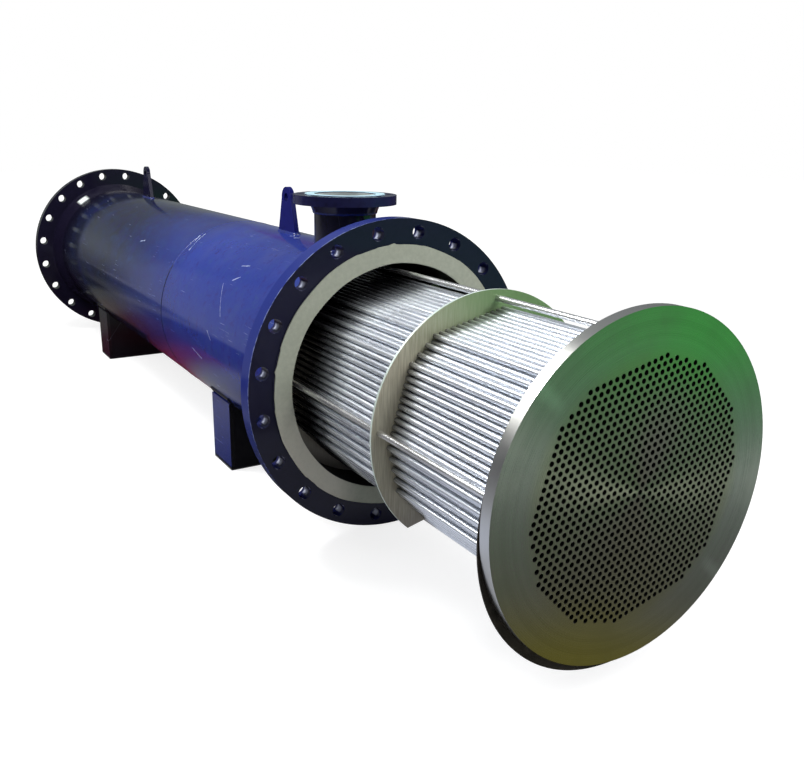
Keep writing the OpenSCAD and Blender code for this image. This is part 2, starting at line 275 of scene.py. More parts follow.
def paint(name, colour, deep, dust, scuffs, bare=None, inner=False, rim=None, rim_from=0.0,
          shell=False, specular=0.45, coat=0.1, pipe=None, hole_ring=0.0, hub_highlight=None):
    """Gloss paint with orange peel, dust and scratches.

    bare is (axis, place, way) of an unpainted face with a painted cyan sheen, inner is True
    where the shell bore shows, darkened there as painted shade, pipe is the line down a nozzle,
    and the last argument is (middle, half size) of a painted highlight.
    """
    s = Shader(name)
    flat = s.unrolled()
    x, _, _ = s.split(s.place)
    facing_x, _, up = s.split(s.normal())
    cloud = s.noise(s.place, 3.0, 4.0)
    fine = s.noise(s.place, 60.0, 3.0)
    colours = s.mix(s.ramp(cloud, 0.30, 0.72, 0.55, 1.0), deep, colour)
    colours = s.mix(s.ramp(fine, 0.45, 0.8, 0.0, 0.45), colours, deep)
    if rim:
        side = s.ramp(s.math("ABSOLUTE", facing_x), 0.55, 0.75, 1.0, 0.0)
        if rim_from:
            side = s.math("MULTIPLY", side, s.math("GREATER_THAN", s.radius(), rim_from))
            # painted highlight along the front edge of the rim
            edge_glint = s.math("MULTIPLY", side, s.ramp(x, FACE_X - 0.007, FACE_X - 0.003, 0.0, 0.7))
            edge_glint = s.math("MULTIPLY", edge_glint, s.ramp(fine, 0.35, 0.6))
        colours = s.mix(side, colours, rim)
        if rim_from:
            colours = s.mix(edge_glint, colours, EDGE_HIGHLIGHT)
    # dust settles on what faces up, in patches
    patch = s.noise(s.place, 9.0, 5.0, 0.65)
    dusty = s.math("MULTIPLY", s.ramp(up, 0.55, 1.0), s.ramp(patch, 0.2, 0.85))
    dusty = s.math("MULTIPLY", dusty, dust)
    colours = s.mix(dusty, colours, DUST)
    # fine scratches in three directions, gathered in patches
    lines = 0.0
    for turn, shift in ((0.35, 0.0), (1.2, 3.1), (2.4, 7.7)):
        run = s.moved(flat, (shift, shift, 0), (0, 0, turn), (7.0, 420.0, 1.0))
        hair = s.ramp(s.noise(run, 1.0, 1.0), 0.70, 0.74)
        where = s.ramp(s.noise(s.moved(flat, (shift, 0, 0)), 6.0, 2.0), 0.56, 0.66)
        lines = s.math("MAXIMUM", lines, s.math("MULTIPLY", hair, where))
    lines = s.math("MULTIPLY", lines, scuffs, True)
    if shell:
        # a grey film over the rear end that darkens towards the rear as painted shade, and the
        # listed scuffs
        colours = s.mix(s.ramp(patch, 0.45, 0.75, 0.0, 0.3), colours, FADED_BLUE)
        film_and_shade = s.ramp(s.math("ADD", x, s.math("MULTIPLY", cloud, 0.5)), -1.0, 0.2, 0.88, 0.0)
        rear = s.math("LESS_THAN", x, course_low.x)
        film_and_shade = s.math("ADD", film_and_shade, s.math("MULTIPLY", rear, 0.08), True)
        film_and_shade = s.math("MULTIPLY", film_and_shade, s.ramp(patch, 0.2, 0.6, 0.75, 1.0))
        colours = s.mix(film_and_shade, colours, REAR_FILM_AND_SHADE)
        # blotches where the paint has weathered to teal and to plum
        blotch = s.noise(s.place, 34.0, 5.0, 0.75)
        colours = s.mix(s.ramp(blotch, 0.50, 0.70, 0.0, 0.45), colours, TEAL)
        colours = s.mix(s.ramp(blotch, 0.32, 0.48, 0.45, 0.0), colours, PLUM)
        # painted shade: deep navy on the shell next to the rear flange
        colours = s.mix(s.ramp(x, rear_low.x, rear_low.x + 0.26, 0.95, 0.0), colours, NAVY_DEEP)
        wander = s.noise(s.place, 45.0, 3.0)
        for start, stop, width in SCUFFS:
            lines = s.math("MAXIMUM", lines, s.stroke(flat, start, stop, width, wander))
    colours = s.mix(lines, colours, SCRATCH)
    roughness = s.ramp(cloud, 0.2, 0.8, 0.08, 0.16)
    roughness = s.math("ADD", roughness, s.math("MULTIPLY", dusty, 0.35))
    roughness = s.math("ADD", roughness, s.math("MULTIPLY", lines, 0.3), True)
    metal = 0.0
    if inner:
        # rust in the shell bore, darkened to near black as painted shade
        inside = s.math("LESS_THAN", s.radius(), SHELL_R - BORE_STEP)
        shaded_rust = s.mix(s.ramp(s.noise(s.place, 14.0, 6.0), 0.35, 0.7), SHADED_RUST_DARK, SHADED_RUST_LIGHT)
        colours = s.mix(inside, colours, shaded_rust)
        roughness = s.math("ADD", roughness, s.math("MULTIPLY", inside, 0.4), True)
    if pipe:
        inside = s.math("LESS_THAN", s.distance(*pipe), NECK_R - BORE_STEP)
        grey = s.mix(s.noise(s.place, 25.0, 4.0), PIPE_DARK, PIPE_LIGHT)
        colours = s.mix(inside, colours, grey)
        roughness = s.math("ADD", roughness, s.math("MULTIPLY", inside, 0.35), True)
    if hole_ring:
        # the bolt hole walls are dark blue, with a painted highlight half way through the flange
        # where light from behind falls on them
        wall = s.ramp(s.math("ABSOLUTE", facing_x), 0.4, 0.6, 1.0, 0.0)
        near = s.math("ABSOLUTE", s.math("SUBTRACT", s.radius(), hole_ring))
        wall = s.math("MULTIPLY", wall, s.math("LESS_THAN", near, 0.02))
        colours = s.mix(wall, colours, HOLE_WALL)
        spot = s.ramp(s.vector("DOT_PRODUCT", s.normal(), HOLE_HIGHLIGHT_WAY), 0.84, 0.98)
        spot = s.math("MULTIPLY", spot, s.ramp(x, FACE_X - 0.043, FACE_X - 0.034))
        spot = s.math("MULTIPLY", spot, s.ramp(x, FACE_X - 0.024, FACE_X - 0.014, 1.0, 0.0))
        colours = s.mix(s.math("MULTIPLY", wall, spot), colours, HOLE_HIGHLIGHT)
    if hub_highlight:
        # painted highlight: a pale patch on the rear flange hub
        off = s.split(s.vector("SUBTRACT", flat, (*hub_highlight[0], 0)))
        shares = [s.ramp(s.math("ABSOLUTE", gap), 0.5 * half, half, 1.0, 0.0)
                  for gap, half in zip(off, hub_highlight[1])]
        colours = s.mix(s.math("MULTIPLY", *shares), colours, HUB_HIGHLIGHT)
    if bare:
        # bare machined face, coloured with a painted cyan sheen
        axis, edge, way = bare
        at = s.split(s.place)[axis]
        face = s.math("GREATER_THAN" if way > 0 else "LESS_THAN", at, edge)
        faced_sheen = s.mix(s.noise(s.place, 40.0, 3.0), FACED_SHEEN_DARK, FACED_SHEEN_LIGHT)
        colours = s.mix(face, colours, faced_sheen)
        metal = s.math("MULTIPLY", face, 0.1)
        roughness = s.math("ADD", roughness, s.math("MULTIPLY", face, 0.15), True)
    height = s.math("ADD", s.noise(s.place, 260.0, 2.0), s.math("MULTIPLY", lines, -0.6))
    s.set(Base_Color=colours, Roughness=roughness, Metallic=metal,
          Normal=s.bump(height, 0.025, 0.002))
    s.set(Specular_IOR_Level=specular, Coat_Weight=coat, Coat_Roughness=0.06)
    return s.material


def drawn_steel(name, colour, dark, along, roughness, metal, heat_and_shade=(), mouth_shade=False):
    """Bright steel with streaks along its length, dull smudges, and heat stain with painted
    shade from each given X.

    The last argument paints shade over it inside the shell.
    """
    s = Shader(name)
    streak = s.noise(s.moved(s.place, scale=along), 1.0, 3.0)
    smudge = s.ramp(s.noise(s.place, 7.0, 4.0), 0.5, 0.75)
    colours = s.mix(s.ramp(streak, 0.3, 0.75), dark, colour)
    colours = s.mix(s.math("MULTIPLY", smudge, 0.35), colours, dark)
    x = s.math("ADD", s.split(s.place)[0], s.math("MULTIPLY", s.noise(s.place, 30.0, 3.0), 0.05))
    # brown stain with painted shade on the tubes in front of each baffle
    for start in heat_and_shade:
        near = s.math("MULTIPLY", s.math("GREATER_THAN", x, start),
                      s.ramp(x, start, start + 0.08, 1.0, 0.0))
        colours = s.mix(s.math("MULTIPLY", near, 0.92), colours, HEAT_STAIN_AND_SHADE)
    if mouth_shade:
        # painted shade: the tubes go dark inside the shell mouth
        shaded = s.ramp(x, FACE_X, FACE_X + 0.14, 0.96, 0.0)
        colours = s.mix(shaded, colours, TUBE_SHADE)
    rough = s.math("ADD", s.ramp(streak, 0.2, 0.8, roughness * 0.8, roughness * 1.25),
                   s.math("MULTIPLY", smudge, 0.08))
    s.set(Base_Color=colours, Metallic=metal, Roughness=rough,
          Normal=s.bump(streak, 0.03, 0.0003))
    return s.material


def turned_steel(name, colour, dark, axis_z, roughness):
    """Steel faced on a lathe: fine rings about the bundle axis."""
    s = Shader(name)
    radius = s.radius(axis_z)
    rings = s.noise(s.merge(s.math("MULTIPLY", radius, 900.0), 0.0), 1.0, 2.0)
    broad = s.noise(s.merge(s.math("MULTIPLY", radius, 60.0), 0.0), 1.0, 2.0)
    cloud = s.noise(s.place, 8.0, 5.0, 0.6)
    colours = s.mix(s.ramp(broad, 0.3, 0.7, 0.0, 0.5), colour, dark)
    colours = s.mix(s.ramp(cloud, 0.45, 0.8, 0.0, 0.5), colours, dark)
    # a painted darker, yellower reflection between the holes, and a painted highlight where the
    # rings lie across the light
    colours = s.mix(s.ramp(radius, 0.235, 0.275, 0.9, 0.0), colours, HOLE_FIELD_REFLECTION)
    _, y, z = s.split(s.place)
    angle = s.math("ARCTAN2", y, s.math("SUBTRACT", z, axis_z))
    across = s.math("ABSOLUTE", s.math("SINE", s.math("ADD", angle, math.radians(47))))
    flare = s.math("MULTIPLY", s.ramp(across, 0.0, 0.07, 0.45, 0.0),
                   s.ramp(radius, 0.26, 0.30))
    colours = s.mix(flare, colours, FLARE_HIGHLIGHT)
    rough = s.math("ADD", s.ramp(rings, 0.25, 0.75, roughness - 0.05, roughness + 0.06),
                   s.ramp(cloud, 0.4, 0.8, 0.0, 0.08))
    s.set(Base_Color=colours, Metallic=1.0, Roughness=rough, Anisotropic=0.85,
          Anisotropic_Rotation=0.07,
          Normal=s.bump(rings, 0.12, 0.0003))
    tangent = s.tree.nodes.new("ShaderNodeTangent")
    tangent.direction_type = "RADIAL"
    tangent.axis = "X"
    s.join(tangent.outputs[0], s.surface.inputs["Tangent"])
    return s.material


def rolled_plate(name, colour, dark, green, edge):
    """Dull plate, darker towards the bottom, with a painted green reflection above, grinding
    marks and a bright cut edge that is partly painted highlight.
    """
    s = Shader(name)
    _, y, z = s.split(s.place)
    facing_x, _, _ = s.split(s.normal())
    marks = s.noise(s.moved(s.place, turn=(0.75, 0, 0), scale=(1, 300, 18)), 1.0, 3.0)
    cloud = s.noise(s.place, 9.0, 5.0, 0.6)
    colours = s.mix(s.ramp(marks, 0.3, 0.7), dark, colour)
    colours = s.mix(s.ramp(cloud, 0.4, 0.8, 0.0, 0.6), colours, dark)
    # darker towards the bottom
    colours = s.mix(s.ramp(z, 0.10, 0.36, 0.9, 0.0), colours, BAFFLE_LOW_DARK)
    # painted reflection: green on the upper side
    high = s.math("ADD", y, s.math("MULTIPLY", z, 0.8))
    colours = s.mix(s.ramp(high, 0.20, 0.60, 0.0, 0.9), colours, green)
    # bare cut edge, bright with a painted highlight
    side = s.ramp(s.math("ABSOLUTE", facing_x), 0.5, 0.7, 1.0, 0.0)
    colours = s.mix(side, colours, edge)
    s.set(Base_Color=colours, Metallic=0.3, Roughness=s.ramp(marks, 0.2, 0.8, 0.30, 0.46),
          Normal=s.bump(marks, 0.12, 0.0004))
    return s.material


def sheet_fibre(name, colour, dark, scale, painted_light=None):
    """Gasket sheet: matt, mottled, with short fibres and finger marks.

    A paler colour, painted light, takes over low down on the -Y side.
    """
    s = Shader(name)
    mottle = s.noise(s.place, scale, 6.0, 0.7)
    marks = s.ramp(s.noise(s.place, 11.0, 3.0), 0.58, 0.78)
    fibre = s.noise(s.moved(s.place, scale=(300, 90, 300)), 1.0, 2.0)
    colours = s.mix(s.ramp(mottle, 0.3, 0.75), dark, colour)
    colours = s.mix(s.math("MULTIPLY", marks, 0.4), colours, dark)
    if painted_light:
        # painted light: paler low down on the -Y side
        _, y, z = s.split(s.place)
        lit_patch = s.math("MULTIPLY", s.ramp(z, AXIS_Z - 0.17, AXIS_Z + 0.03, 1.0, 0.0),
                      s.ramp(y, -0.20, -0.10, 1.0, 0.0))
        colours = s.mix(s.math("MULTIPLY", lit_patch, s.ramp(mottle, 0.2, 0.6, 0.8, 1.0)),
                        colours, painted_light)
    s.set(Base_Color=colours, Roughness=s.ramp(mottle, 0.2, 0.8, 0.75, 0.95),
          Normal=s.bump(s.math("ADD", mottle, fibre), 0.25, 0.0008))
    return s.material


# mesh helpers

def piece(name, points, faces, material, smooth=True, sharp_deg=40):
    mesh = bpy.data.meshes.new(name)
    mesh.from_pydata([tuple(p) for p in points], [], [tuple(f) for f in faces])
    mesh.validate()
    mesh.polygons.foreach_set("use_smooth", [smooth] * len(mesh.polygons))
    if smooth:
        mesh.set_sharp_from_angle(angle=math.radians(sharp_deg))
    mesh.materials.append(material)
    made = bpy.data.objects.new(name, mesh)
    bpy.context.scene.collection.objects.link(made)
    return made


def sweep(path, outward, half_width, half_height, closed, ripple=0.0, sides=8, step=4):
    """A rippled bead along path: points and faces. outward is the way it stands proud."""
    path, outward = np.asarray(path, float), np.asarray(outward, float)
    count = len(path)
    ahead = np.roll(path, -1, 0) - np.roll(path, 1, 0)
    if not closed:
        ahead[0], ahead[-1] = path[1] - path[0], path[-1] - path[-2]
    ahead /= np.linalg.norm(ahead, axis=1)[:, None]
    across = np.cross(ahead, outward)
    across /= np.linalg.norm(across, axis=1)[:, None]
    turn = np.linspace(0, 2 * math.pi, sides, endpoint=False)
    wave = 1 + ripple * (np.arange(count) % step / step - 0.5)
    points = (
        path[:, None]
        + across[:, None] * (np.cos(turn) * half_width)[None, :, None] * wave[:, None, None]
        + outward[:, None] * (np.sin(turn) * half_height)[None, :, None] * wave[:, None, None]
    ).reshape(-1, 3)
    faces = []
    for k in range(count if closed else count - 1):
        a, b = k * sides, (k + 1) % count * sides
        for m in range(sides):
            n = (m + 1) % sides
            faces.append((a + m, a + n, b + n, b + m))
    if not closed:
        faces.append(tuple(range(sides))[::-1])
        faces.append(tuple(range((count - 1) * sides, count * sides)))
    return points, faces


def beads(name, runs, material):
    """One piece from several sweeps."""
    points, faces = [], []
    for run_points, run_faces in runs:
        start = len(points)
        points.extend(map(tuple, run_points))
        faces.extend(tuple(start + i for i in face) for face in run_faces)
    made = piece(name, points, faces, material, sharp_deg=80)
    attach(made, "root")
    return made


def girth(x, radius, half_width, half_height, ripple, arc=None):
    """Bead round the shell, whole or over an arc given in degrees from +Y towards the top."""
    if arc:
        angle = np.radians(np.linspace(*arc, 240))
    else:
        angle = np.linspace(0, 2 * math.pi, 480, endpoint=False)
    outward = np.stack([0 * angle, np.cos(angle), np.sin(angle)], 1)
    path = np.array([x, 0, AXIS_Z]) + outward * radius
    return sweep(path, outward, half_width, half_height, not arc, ripple)


def neck_weld(x, side):
    """Fillet round a nozzle where it meets the shell: side 0 is the top, 1 is +Y."""
    angle = np.linspace(0, 2 * math.pi, 180, endpoint=False)
    along, across = NECK_R * np.cos(angle), NECK_R * np.sin(angle)
    height = np.sqrt(SHELL_R**2 - across**2)
    lean = np.stack([np.cos(angle), np.sin(angle), 0.8 + 0 * angle], 1)
    lean /= np.linalg.norm(lean, axis=1)[:, None]
    if side == 0:
        path = np.stack([x + along, across, AXIS_Z + height], 1)
    else:
        path = np.stack([x + along, height, AXIS_Z - across], 1)
        lean = np.stack([lean[:, 0], lean[:, 2], -lean[:, 1]], 1)
    return sweep(path, lean, 0.0075, 0.0065, True, 0.16)


def hub_weld(centre, axis, radius):
    """Small fillet where the nozzle pipe enters the flange hub."""
    angle = np.linspace(0, 2 * math.pi, 144, endpoint=False)
    if axis == 2:
        ring = np.stack([np.cos(angle), np.sin(angle), 0 * angle], 1)
        lean = ring - np.array([0, 0, 0.7])
    else:
        ring = np.stack([np.cos(angle), 0 * angle, np.sin(angle)], 1)
        lean = ring - np.array([0, 0.7, 0])
    lean /= np.linalg.norm(lean, axis=1)[:, None]
    return sweep(np.asarray(centre) + ring * radius, lean, 0.005, 0.004, True, 0.15)


def lug_weld(low, high):
    """Fillets along both faces of a lug and round its ends."""
    half_t = (high.y - low.y) / 2
    top = AXIS_Z + SHELL_R
    along = np.linspace(low.x, high.x, 42)
    side = [(x, -half_t, top) for x in along]
    end = [(high.x, y, top) for y in np.linspace(-half_t, half_t, 5)[1:-1]]
    back = [(x, half_t, top) for x in along[::-1]]
    front = [(low.x, y, top) for y in np.linspace(half_t, -half_t, 5)[1:-1]]
    path = np.array(side + end + back + front)
    lean = path - np.array([(low.x + high.x) / 2, 0, top])
    lean[:, 0] *= (np.abs(lean[:, 0]) > 0.97 * (high.x - low.x) / 2)
    lean /= np.linalg.norm(lean, axis=1)[:, None]
    lean[:, 2] = 0.9
    lean /= np.linalg.norm(lean, axis=1)[:, None]
    return sweep(path, lean, 0.0065, 0.0055, True, 0.18)


def saddle_welds(low, high):
    """Fillets where the saddle's cross plates and side plates meet the shell."""
    runs = []
    reach = math.asin(min(0.99, high.y / SHELL_R))
    angle = np.linspace(-reach, reach, 130)
    for x, way in ((low.x, -1), (high.x, 1)):
        radial = np.stack([0 * angle, np.sin(angle), -np.cos(angle)], 1)
        path = np.array([x, 0, AXIS_Z]) + radial * SHELL_R
        lean = radial + np.array([way, 0, 0])
        lean /= np.linalg.norm(lean, axis=1)[:, None]
        runs.append(sweep(path, lean, 0.006, 0.005, False, 0.16))
    drop = math.sqrt(SHELL_R**2 - high.y**2)
    for y, way in ((low.y, -1), (high.y, 1)):
        along = np.linspace(low.x, high.x, 40)
        path = np.stack([along, 0 * along + y, 0 * along + AXIS_Z - drop], 1)
        lean = np.tile([0, way * 0.92, 0.39], (40, 1))
        runs.append(sweep(path, lean, 0.006, 0.005, False, 0.16))
    return runs


def tube_sites():
    """Tube centres in the bundle, as the drilled pattern of the part has them."""
    found = []
    limit, corner = TUBE_ROWS, 2 * TUBE_ROWS - 3
    for i in range(-limit, limit + 1):
        for j in range(-limit, limit + 1):
            far = max(abs(i - j), abs(2 * i + j), abs(i + 2 * j))
            if abs(i + j) <= limit + 1 and far <= corner:
                y, z = (i + j / 2) * TUBE_PITCH, j * TUBE_PITCH * math.sqrt(0.75)
                c, s = math.cos(BUNDLE_ROLL), math.sin(BUNDLE_ROLL)
                found.append((y * c - z * s, BUNDLE_Z + y * s + z * c))
    return np.array(found)


def tube_bundle(material, end_material, bore_material):
    """All tubes, round and smooth, as one piece that stands for the tube nodes."""
    sides = 20
    angle = np.linspace(0, 2 * math.pi, sides, endpoint=False)
    circle = np.stack([np.cos(angle), np.sin(angle)], 1)
    rings = ((TUBE_TO, TUBE_R), (TUBE_FROM, TUBE_R), (TUBE_FROM, TUBE_BORE_R),
             (TUBE_TO, TUBE_BORE_R))
    one = np.array([(x, r * c[0], r * c[1]) for x, r in rings for c in circle])
    cells = []
    for ring in range(4):
        for m in range(sides):
            n, after = (m + 1) % sides, (ring + 1) % 4
            cells.append((ring * sides + m, ring * sides + n, after * sides + n,
                          after * sides + m))
    cells = np.array(cells)
    sites = tube_sites()
    shift = np.stack([0 * sites[:, 0], sites[:, 0], sites[:, 1]], 1)
    points = (one[None] + shift[:, None]).reshape(-1, 3)
    faces = (cells[None] + np.arange(len(sites))[:, None, None] * len(one)).reshape(-1, 4)
    made = piece("tube_bundle", points, faces, material, sharp_deg=50)
    made.data.materials.append(end_material)
    made.data.materials.append(bore_material)
    # outside, rear end, bore, front end
    slot_of_ring = np.array([0, 1, 2, 1], np.int32)
    slot_of_face = slot_of_ring[np.arange(len(faces)) // sides % 4]
    made.data.polygons.foreach_set("material_index", slot_of_face)
    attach(made, "root")
    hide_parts("outer_tubes", *INNER_TUBES)
    return made


def gasket_sheet(material):
    """Pale gasket with a hand-cut outer edge, a little flat between its cuts."""
    count = 288
    rng = np.random.default_rng(7)
    angle = np.linspace(0, 2 * math.pi, count, endpoint=False)
    outer = (gasket_high.y - gasket_low.y) / 2
    inner = SHELL_R - 0.0085
    cuts = np.sort(rng.uniform(0, 2 * math.pi, 30))
    step = np.searchsorted(cuts, angle) % 30
    middle = (np.roll(cuts, 1)[step] + cuts[step]) / 2
    off = np.abs((angle - middle + math.pi) % (2 * math.pi) - math.pi)
    edge = outer - 0.0012 + 0.06 * np.minimum(off, 0.16) ** 2 - rng.uniform(0, 0.0012, 30)[step]
    edge = np.minimum(edge, outer)
    tabs = np.exp(-((angle - 2.96) / 0.012) ** 2) + np.exp(-((angle - 1.62) / 0.02) ** 2)
    edge = edge + 0.004 * tabs
    hole = inner + 0.0008 * np.sin(9 * angle) * np.sin(4 * angle + 1)
    low, high, lip = gasket_low.x, gasket_high.x, 0.0006
    profile = ((hole, low), (edge, low), (edge, high - lip), (edge - lip, high),
               (hole + lip, high), (hole, high - lip))
    points, sides = [], len(profile)
    for k in range(count):
        for radius, x in profile:
            points.append((x, radius[k] * math.cos(angle[k]),
                           AXIS_Z + radius[k] * math.sin(angle[k])))
    faces = []
    for k in range(count):
        a, b = k * sides, (k + 1) % count * sides
        faces += [(a + m, a + (m + 1) % sides, b + (m + 1) % sides, b + m)
                  for m in range(sides)]
    made = piece("front_gasket_sheet", points, faces, material, sharp_deg=35)
    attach(made, "root")
    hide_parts("front_gasket")
    return made


# looks

add_camera()
shell_paint = paint("shell_paint", BLUE, BLUE_DEEP, 0.1, 0.5, inner=True, shell=True)
fitting_paint = paint("fitting_paint", (0.009, 0.011, 0.120), (0.006, 0.007, 0.070), 0.1, 0.5,
                      specular=0.02, coat=0.0)
inlet_pipe = (0, INLET_X, 1, 0.0)
outlet_pipe = (0, OUTLET_X, 2, AXIS_Z)
inlet_paint = paint("inlet_flange_paint", FLANGE_BLUE, NAVY, 0.1, 0.0, specular=0.2,
                    bare=(2, inlet_high.z - FACE_STEP, 1), pipe=inlet_pipe)
outlet_paint = paint("outlet_flange_paint", FLANGE_BLUE, NAVY, 0.1, 0.0, specular=0.2,
                     bare=(1, outlet_high.y - FACE_STEP, 1), pipe=outlet_pipe)
front_paint = paint("front_flange_paint", (0.013, 0.013, 0.034), (0.009, 0.009, 0.024), 0.1, 0.0,
                    inner=True, rim=BLUE_DEEP, rim_from=flange_high.y - 0.008, specular=0.15,
                    hole_ring=BOLT_RING)
rear_paint = paint("rear_flange_paint", NAVY, NAVY_DEEP, 0.1, 0.0,
                   bare=(0, REAR_X + FACE_STEP, -1), inner=True, specular=0.3,
                   hub_highlight=((-2.100, -0.182), (0.027, 0.032)))
# painted shade on the saddles: near black where the shell hides them, the -Y faces of the front
# saddle ends blue, the rear ones dark
saddle_shade = paint("saddle_shade", SHADE, SHADE_DEEP, 0.1, 0.2, specular=0.2)
front_side_paint_and_shade = paint("front_saddle_side_paint_and_shade", SHADE, SHADE_DEEP, 0.1, 0.4,
                   rim=(0.020, 0.030, 0.180))
rear_side_paint_and_shade = paint("rear_saddle_side_paint_and_shade", SHADE, SHADE_DEEP, 0.1, 0.4,
                        rim=(0.008, 0.009, 0.024))
lug_paint = paint("rear_lug_paint", NECK_BLUE, NAVY, 0.2, 0.4, specular=0.06, coat=0.0)
inlet_neck_paint = paint("inlet_neck_paint", NECK_BLUE, NAVY, 0.2, 0.4, pipe=inlet_pipe)
outlet_neck_paint = paint("outlet_neck_paint", NECK_BLUE, NAVY, 0.2, 0.4, pipe=outlet_pipe)
weld_paint = paint("weld_paint", BLUE_DEEP, NAVY, 0.2, 0.3)
tube_steel = drawn_steel("tube_steel", (0.91, 0.95, 1.00), (0.73, 0.77, 0.84),
                         (1.5, 160, 160), 0.26, 0.68, heat_and_shade=[box[1].x for box in baffle_boxes],
                         mouth_shade=True)
bore_steel = drawn_steel("tube_bore_steel", (0.020, 0.020, 0.020), (0.008, 0.008, 0.008),
                         (1.5, 160, 160), 0.5, 0.5)
rod_steel = drawn_steel("rod_steel", (0.86, 0.87, 0.88), (0.58, 0.58, 0.58),
                        (2.0, 120, 120), 0.24, 0.85)
baffle_steel = rolled_plate("baffle_steel", (0.62, 0.59, 0.46), (0.42, 0.39, 0.29),
                            (0.17, 0.315, 0.125), (0.72, 0.82, 0.76))
sheet_steel = turned_steel("tube_sheet_steel", (0.58, 0.58, 0.55), (0.46, 0.46, 0.43),
                           BUNDLE_Z, 0.27)
pale_fibre = sheet_fibre("pale_gasket_fibre", (0.435, 0.46, 0.375), (0.365, 0.39, 0.315), 90,
                         painted_light=(0.72, 0.70, 0.60))
black_fibre = sheet_fibre("black_gasket_fibre", (0.050, 0.040, 0.030), (0.018, 0.015, 0.013), 60)

finish = {
    "shell_front_course": shell_paint, "shell_rear_course": shell_paint,
    "front_flange": front_paint, "rear_flange": rear_paint,
    "front_gasket": pale_fibre, "hung_gasket": black_fibre,
    "inlet_neck": inlet_neck_paint, "inlet_flange": inlet_paint,
    "outlet_neck": outlet_neck_paint, "outlet_flange": outlet_paint,
    "front_lifting_lug": fitting_paint, "rear_lifting_lug": lug_paint,
    "front_tube_sheet": sheet_steel, "rear_tube_sheet": sheet_steel,
    "outer_tubes": tube_steel,
    "tie_rods": rod_steel, "spacer_sleeves": rod_steel, "tie_rod_nuts": rod_steel,
}
for end, ends_paint_and_shade in (("front", front_side_paint_and_shade), ("rear", rear_side_paint_and_shade)):
    finish[f"{end}_saddle_base"] = saddle_shade
    finish[f"{end}_saddle_webs"] = saddle_shade
    finish[f"{end}_saddle_ends"] = ends_paint_and_shade
for number in range(1, 6):
    finish[f"baffle_{number}"] = baffle_steel
for name in INNER_TUBES:
    finish[name] = tube_steel
for name, material in finish.items():
    slots = nodes[name].data.materials
    slots.clear()
    slots.append(material)

tube_bundle(tube_steel, sheet_steel, bore_steel)
gasket_sheet(pale_fibre)

beads("shell_seam_welds", [
    girth(course_high.x, SHELL_R, 0.007, 0.0018, 0.25),
    girth(rear_low.x, SHELL_R, 0.007, 0.0008, 0.25),
    girth(course_low.x, SHELL_R, 0.0028, 0.0007, 0.2, (-20, 146)),
], shell_paint)
# the lower arc of the middle seam is near black: painted shade
beads("shell_middle_seam", [
    girth(course_low.x, SHELL_R, 0.0028, 0.0010, 0.2, (146, 340)),
], saddle_shade)
beads("nozzle_welds", [
    neck_weld(INLET_X, 0),
    neck_weld(OUTLET_X, 1),
    hub_weld((INLET_X, 0, inlet_low.z), 2, NECK_R),
    hub_weld((OUTLET_X, outlet_low.y, AXIS_Z), 1, NECK_R),
], weld_paint)
beads("lifting_lug_welds", [
    lug_weld(lug_low, lug_high), lug_weld(rear_lug_low, rear_lug_high),
], weld_paint)
beads("saddle_welds", saddle_welds(base_low, base_high)
      + saddle_welds(rear_base_low, rear_base_high), saddle_shade)


# floor, backdrop and light

ROOM_LOW, ROOM_HIGH, ROOM_HEIGHT = -6.0, 9.0, 4.7
CARD_Z = 0.004
WORLD_LIGHT = 0.32
UP, ALONG, ACROSS = (0, 0, 1), (1, 0, 0), (0.707, 0.707, 0)


def emitter(name, colours, way):
    """Glow for a card: (run, colour) stops along a direction."""
    s = Shader(name)
    run = s.vector("DOT_PRODUCT", s.place, way)
    mixed = colours[0][1]
    for (start, _), (stop, colour) in zip(colours, colours[1:]):
        mixed = s.mix(s.ramp(run, start, stop), mixed, colour)
    glow = s.tree.nodes.new("ShaderNodeEmission")
    s.put(glow.inputs[0], mixed)
    s.join(glow.outputs[0], s.output.inputs[0])
    s.tree.nodes.remove(s.surface)
    return s.material


def card(name, corners, material):
    """A studio flag: it shows in reflections and lights nothing."""
    mesh = bpy.data.meshes.new(name)
    mesh.from_pydata(corners, [], [(0, 1, 2, 3)])
    mesh.materials.append(material)
    made = bpy.data.objects.new(name, mesh)
    bpy.context.scene.collection.objects.link(made)
    made.visible_camera = False
    made.visible_diffuse = False
    made.visible_shadow = False


def level(low_x, low_y, high_x, high_y, z=CARD_Z):
    return [(low_x, low_y, z), (high_x, low_y, z), (high_x, high_y, z), (low_x, high_y, z)]


def upright(start, stop, low=0.0, high=ROOM_HEIGHT):
    """Corners of a wall over the floor line from start to stop."""
    return [(*start, low), (*stop, low), (*stop, high), (*start, high)]


def add_floor():
    mesh = bpy.data.meshes.new("floor")
    reach = 20
    mesh.from_pydata(level(-reach, -reach, reach, reach, 0), [], [(0, 1, 2, 3)])
    floor = bpy.data.objects.new("floor", mesh)
    bpy.context.scene.collection.objects.link(floor)
    s = Shader("floor_white")
    s.set(Base_Color=(0.35, 0.35, 0.35), Roughness=0.9, Specular_IOR_Level=0.0)
    path = s.tree.nodes.new("ShaderNodeLightPath")
    seen = s.math("ADD", path.outputs["Is Camera Ray"], path.outputs["Is Glossy Ray"])
    seen = s.math("ADD", seen, path.outputs["Is Transmission Ray"], True)
    far = s.ramp(s.vector("LENGTH", s.place), 2.5, 6.0, 0.80, 0.97)
    s.set(Emission_Color=(1, 1, 1), Emission_Strength=s.math("MULTIPLY", seen, far))
    mesh.materials.append(s.material)


